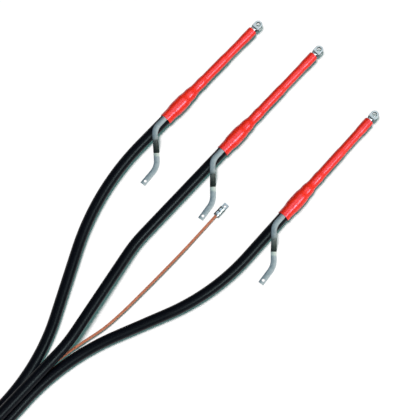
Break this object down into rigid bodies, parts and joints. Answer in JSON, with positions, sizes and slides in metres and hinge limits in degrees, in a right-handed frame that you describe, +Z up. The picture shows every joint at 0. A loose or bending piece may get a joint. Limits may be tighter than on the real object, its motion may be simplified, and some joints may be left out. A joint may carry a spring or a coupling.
{
  "type": "cable_termination",
  "caption": "Heat-shrink termination of a three-core medium-voltage cable: black cores, red tubes with lugs, earth straps and a bare copper earth wire",
  "frame": {"origin": "middle of the bounding box, on the floor that the termination lies on", "axes": "+X from the cable's cut end to the lugs, +Y to the left phase, +Z up"},
  "size_m": [1.4484, 0.557, 0.057],
  "materials": {
    "sheath_black": "satin black",
    "tube_red": "satin red",
    "tinned_copper": "dull tin plate",
    "tinned_aluminium": "dull tin plate",
    "copper": "bare drawn wire",
    "aluminium": "bare",
    "spring_steel": "bright",
    "polyethylene_natural": "matt",
    "conductive_polymer": "matt black",
    "mastic": "soft"
  },
  "bodies": {
    "root": {"conductor_1": "aluminium", "conductor_2": "aluminium", "conductor_3": "aluminium", "insulation_1": "polyethylene_natural", "insulation_2": "polyethylene_natural", "insulation_3": "polyethylene_natural", "screen_1": "conductive_polymer", "screen_2": "conductive_polymer", "screen_3": "conductive_polymer", "foil_1": "aluminium", "foil_2": "aluminium", "foil_3": "aluminium", "sheath_1": "sheath_black", "sheath_2": "sheath_black", "sheath_3": "sheath_black", "lug_1": "tinned_aluminium", "lug_2": "tinned_aluminium", "lug_3": "tinned_aluminium", "lug_sealant_1": "mastic", "lug_sealant_2": "mastic", "lug_sealant_3": "mastic", "stress_mastic_1": "mastic", "stress_mastic_2": "mastic", "stress_mastic_3": "mastic", "stress_tube_1": "conductive_polymer", "stress_tube_2": "conductive_polymer", "stress_tube_3": "conductive_polymer", "contact_plate_1": "tinned_copper", "contact_plate_2": "tinned_copper", "contact_plate_3": "tinned_copper", "roll_spring_1": "spring_steel", "roll_spring_2": "spring_steel", "roll_spring_3": "spring_steel", "cuff_seal_1": "mastic", "cuff_seal_2": "mastic", "cuff_seal_3": "mastic", "earth_strap_1": "tinned_copper", "earth_strap_2": "tinned_copper", "earth_strap_3": "tinned_copper", "red_tube_1": "tube_red", "red_tube_2": "tube_red", "red_tube_3": "tube_red", "earth_wire": "copper", "earth_lug": "tinned_copper", "earth_lug_screws": "spring_steel"}
  },
  "joints": []
}
